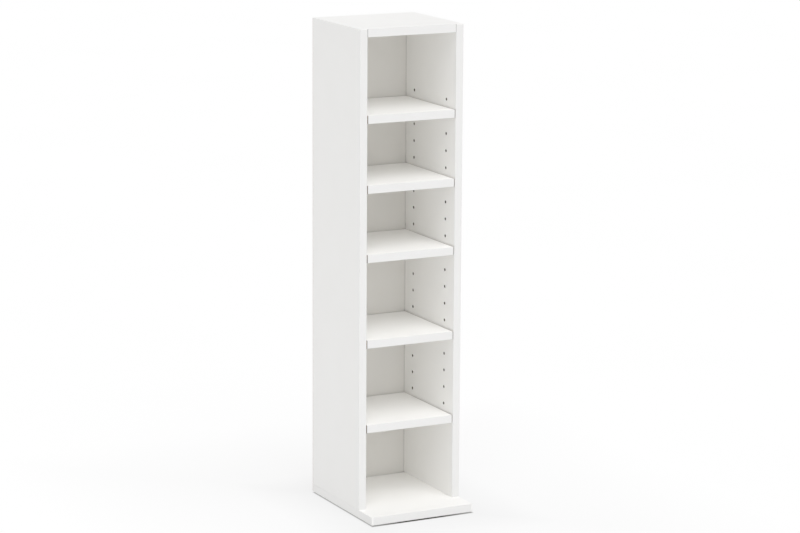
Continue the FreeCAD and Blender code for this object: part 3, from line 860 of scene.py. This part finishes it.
# %% Back nails
NAIL_STEPS, NAIL_TOP, NAIL_SHANK = 16, 1.3, 0.7
NAIL_HEAD = [(0.15, 1.55), (0.3, 1.6), (0.6, 1.6), (0.8, 1.45), (0.8, 0.8), (1.1, NAIL_SHANK)]
NAIL_POINT = [(18.5, NAIL_SHANK), (20, 0.04)]
GRIP_FIRST, GRIP_PITCH, GRIP_COUNT = 2.0, 1.2, 6
GRIP_GROOVE = [(0.0, NAIL_SHANK), (0.15, 0.58), (0.6, NAIL_SHANK)]
NAIL_END, NAILS_PER_SIDE = 60 * MM, 6


def nail_spots():
    """Where the nails are, seen from behind: up both sides, and two each in the base and the top."""
    first, last = base_high.z + NAIL_END, top_high.z - NAIL_END
    heights = [first + (last - first) * number / (NAILS_PER_SIDE - 1) for number in range(NAILS_PER_SIDE)]
    spots = [(hand * SIDE_MIDDLE, z) for hand in HANDS for z in heights]
    return spots + [(hand * INNER_FACE / 2, z) for hand in HANDS for z in (BASE_MIDDLE, TOP_MIDDLE)]


def make_nails():
    """The nails of the back, from the head to the point."""
    shape = bmesh.new()
    head = first_ring(shape, 0.0, NAIL_TOP, NAIL_STEPS)
    starts = [GRIP_FIRST + number * GRIP_PITCH for number in range(GRIP_COUNT)]
    grip = [(start + along, radius) for start in starts for along, radius in GRIP_GROOVE]
    turn_on(shape, head, NAIL_HEAD + grip + NAIL_POINT)
    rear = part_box("back_panel")[1].y
    places = [lying((x, rear, z), Vector((0, -1, 0))) for x, z in nail_spots()]
    stand_in(shape, "back_panel_nails", plated, places)


make_nails()

# %% Dowels
DOWEL_STEPS, DOWEL_RADIUS, DOWEL_END = 64, 3.95, 2.95
FLUTE_DEPTH, FLUTE_COUNT = 0.35, 16
DOWEL_START, DOWEL_TIP, DOWEL_CHAMFER = -10, 20, 1


def dowel_pattern():
    """One fluted dowel; its joint is at 0, its long end towards X."""
    shape = bmesh.new()
    fluted = flutes(DOWEL_RADIUS, FLUTE_DEPTH, FLUTE_COUNT)
    end = first_ring(shape, DOWEL_START, DOWEL_END, DOWEL_STEPS)
    turn_on(shape, end, [(DOWEL_START + DOWEL_CHAMFER, fluted), (DOWEL_TIP - DOWEL_CHAMFER, fluted),
                         (DOWEL_TIP, DOWEL_END)])
    return shape


def make_dowels():
    """Four dowels in the ends of the top and four in the feet of the sides."""
    low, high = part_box("top_dowels")
    rows = (low.y + DOWEL_RADIUS * MM, high.y - DOWEL_RADIUS * MM)
    spots = [(hand, y) for hand in HANDS for y in rows]
    across = [lying((hand * INNER_FACE, y, TOP_MIDDLE), Vector((-hand, 0, 0))) for hand, y in spots]
    upright = [lying((hand * SIDE_MIDDLE, y, base_high.z), Vector((0, 0, 1))) for hand, y in spots]
    stand_in(dowel_pattern(), "top_dowels", beech_across, across)
    stand_in(dowel_pattern(), "base_dowels", beech_upright, upright)


make_dowels()

# %% [markdown]
# ## Floor
# Floor and background are one wide plane and almost white. Most of that white is the floor's own glow, so
# that shadows stay faint. Near the base the glow is turned down, a painted shadow. Close under the base a
# thin dark line is painted as its shadow, strongest in the middle of its width.

# %% Shade of the base
UNDER_START, UNDER_END, UNDER_FRONT = -2 * MM, 2 * MM, 1.5 * MM
UNDER_MIDDLE, UNDER_AT_ENDS = 40 * MM, 0.66
strip_low, strip_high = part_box("base_edge_band")


def beside_base(tree, place):
    """Distance from the shade of the base in metres, negative inside. The shade reaches on in front."""
    spot = axes(tree, place)
    x, y = spot["X"], spot["Y"]
    out_x = calc(tree, "MAXIMUM", minus(tree, x, strip_high.x), minus(tree, strip_low.x, x))
    out_y = calc(tree, "MAXIMUM", minus(tree, y, strip_high.y), minus(tree, strip_low.y - UNDER_FRONT, y))
    return calc(tree, "MAXIMUM", out_x, out_y)


def under_shade(tree, place, away):
    """The shade under the base: full in the middle of its width, weaker at its ends and beside it."""
    aside = calc(tree, "ABSOLUTE", axes(tree, place)["X"])
    level = spread(tree, aside, 1.0, UNDER_AT_ENDS, UNDER_MIDDLE, strip_high.x)
    return times(tree, spread(tree, away, 1.0, 0.0, UNDER_START, UNDER_END), level)


print("base: %.0f mm wide" % ((strip_high.x - strip_low.x) / MM))

# %% Floor
FLOOR_HALF = 30.0
FLOOR_ROUGH, FLOOR_CLOUDS = 0.9, (2.0, 2.0)
FLOOR_PALE, FLOOR_CLOUD = (0.1, 0.1, 0.1, 1.0), (0.095, 0.095, 0.095, 1.0)
FLOOR_GLOW, GLOW_OFF, GLOW_ON = 0.9, (0.0, 0.0, 0.0, 1.0), (1.0, 1.0, 1.0, 1.0)
NEAR_GLOW, NEAR_REACH = 0.915, 0.12
WIDE_GLOW, WIDE_REACH = 0.95, 0.5
UNDER_COLOUR = (0.058, 0.052, 0.036, 1.0)


def floor_finish():
    """Pale and glowing, with a painted shadow near and close under the base."""
    values = {"Roughness": FLOOR_ROUGH, "Specular_IOR_Level": 0.0, "Emission_Strength": FLOOR_GLOW}
    material, tree, shader, place = new_finish("studio_floor", **values)
    cloud = spread(tree, noise(tree, place, *FLOOR_CLOUDS), 0.0, 1.0)
    pale = mix_colour(tree, cloud, FLOOR_PALE, FLOOR_CLOUD)
    away = beside_base(tree, place)
    # painted shadow: UNDER_COLOUR under the base, and less glow near it
    shade = under_shade(tree, place, away)
    near = spread(tree, away, NEAR_GLOW, 1.0, 0.0, NEAR_REACH)
    wide = spread(tree, away, WIDE_GLOW, 1.0, NEAR_REACH, WIDE_REACH)
    glow = times(tree, minus(tree, 1.0, shade), times(tree, near, wide))
    join(tree, (mix_colour(tree, shade, pale, UNDER_COLOUR), shader.inputs["Base Color"]),
         (mix_colour(tree, glow, GLOW_OFF, GLOW_ON), shader.inputs["Emission Color"]))
    return material


def make_floor():
    """A wide plain floor at the height of the glides."""
    mesh = bpy.data.meshes.new("floor")
    shape = bmesh.new()
    bmesh.ops.create_grid(shape, x_segments=1, y_segments=1, size=FLOOR_HALF)
    shape.to_mesh(mesh)
    shape.free()
    mesh.materials.append(floor_finish())
    floor = bpy.data.objects.new("floor", mesh)
    bpy.context.scene.collection.objects.link(floor)
    return floor


print("floor:", make_floor().name)

# %% [markdown]
# ## Light
# The picture is high-key, and even the compartments are bright, because the light is broad and comes from
# in front and above. Wide, soft suns do this: two in front that reach into the compartments, a strong
# high one for what faces up, a weak one on the left for the outer side and one behind for the back. A
# pale sky fills what is left. White boards hand the light on to each other many times, so it may bounce
# more often than usual. A gamma above 1 lifts the middle tones.

# %% Light
SKY_COLOUR, SKY_LEVEL = (1.0, 1.0, 1.0, 1.0), 0.38
DISPLAY_GAMMA = 1.2
LAMP_SPREAD = math.radians(50)
LIGHT_BOUNCES = 16
LAMPS = {
    "front_lamp": (0, 38, 0.56),
    "front_left_lamp": (-30, 38, 0.34),
    "high_lamp": (0, 62, 1.43),
    "left_lamp": (-95, 15, 0.21),
    "rear_lamp": (165, 30, 0.3),
}


def make_lamp(name, azimuth, elevation, level):
    """A soft sun in a direction."""
    lamp = bpy.data.objects.new(name, bpy.data.lights.new(name, "SUN"))
    lamp.data.energy = level
    lamp.data.angle = LAMP_SPREAD
    lamp.rotation_mode = "QUATERNION"
    lamp.rotation_quaternion = towards(azimuth, elevation).to_track_quat("Z", "Y")
    bpy.context.scene.collection.objects.link(lamp)


def make_sky():
    """An even pale sky."""
    world = bpy.data.worlds.new("studio")
    bpy.context.scene.world = world
    world.use_nodes = True
    sky = world.node_tree.nodes["Background"]
    sky.inputs["Color"].default_value = SKY_COLOUR
    sky.inputs["Strength"].default_value = SKY_LEVEL


make_sky()
for name, (azimuth, elevation, level) in LAMPS.items():
    make_lamp(name, azimuth, elevation, level)
bpy.context.scene.cycles.max_bounces = LIGHT_BOUNCES
bpy.context.scene.cycles.diffuse_bounces = LIGHT_BOUNCES
bpy.context.scene.view_settings.view_transform = "Standard"
bpy.context.scene.view_settings.gamma = DISPLAY_GAMMA
print("lamps:", list(LAMPS))
